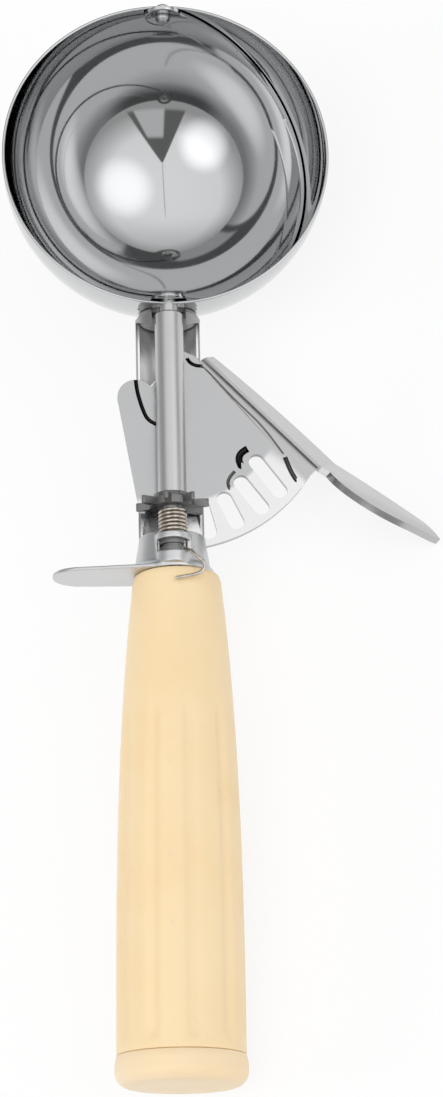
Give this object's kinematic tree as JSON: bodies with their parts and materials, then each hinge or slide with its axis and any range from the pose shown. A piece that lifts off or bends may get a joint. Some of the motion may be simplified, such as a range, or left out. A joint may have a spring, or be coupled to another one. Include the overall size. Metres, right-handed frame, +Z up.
{
  "type": "ice cream scoop",
  "caption": "Hand-held disher: a round steel bowl with a geared scraper blade, worked by a sprung thumb lever beside a plastic handle.",
  "frame": {"origin": "centre of the bottom of the part's outer box, on the surface the tool lies on", "axes": "+Y from the handle's butt towards the bowl's tip, +Z up through the bowl's opening, +X towards the thumb lever; the tool lies on the bowl's back, the edge of the handle's butt and the thumb pad"},
  "size_m": [0.0847, 0.2328, 0.0497],
  "materials": {
    "polished_steel": "polished",
    "satin_steel": "satin",
    "gear_steel": "tumbled",
    "spring_wire": "drawn wire",
    "ivory_plastic": "moulded, soft gloss"
  },
  "bodies": {
    "frame": {"bowl": "polished_steel", "blade_tip_rivet": "satin_steel", "shank": "polished_steel", "ferrule": "polished_steel", "spindle_bush": "satin_steel", "torsion_spring": "spring_wire", "lever_rivet": "polished_steel", "pivot_washer": "satin_steel", "handle": "ivory_plastic", "handle_cap": "ivory_plastic"},
    "spindle": {"spindle": "satin_steel", "pinion": "gear_steel", "scraper_blade": "polished_steel", "drive_washer": "satin_steel"},
    "lever": {"thumb_lever": "polished_steel"}
  },
  "joints": [
    {"name": "lever_press", "type": "hinge", "parent": "frame", "child": "lever", "pos_m": [-0.00934, 0.02842, 0.02534], "axis": [-0.3595, 0.0805, -0.9297], "range_deg": [0, 35], "stiffness_Nm_per_rad": 1, "springref_deg": -17.19},
    {"name": "spindle_turn", "type": "hinge", "parent": "frame", "child": "spindle", "pos_m": [-0.00736, 0.00188, 0.02819], "axis": [0, 0.9963, 0.0863], "range_deg": [0, 140]}
  ],
  "couplings": [
    {"joint": "spindle_turn", "follows": "lever_press", "ratio": 4}
  ]
}
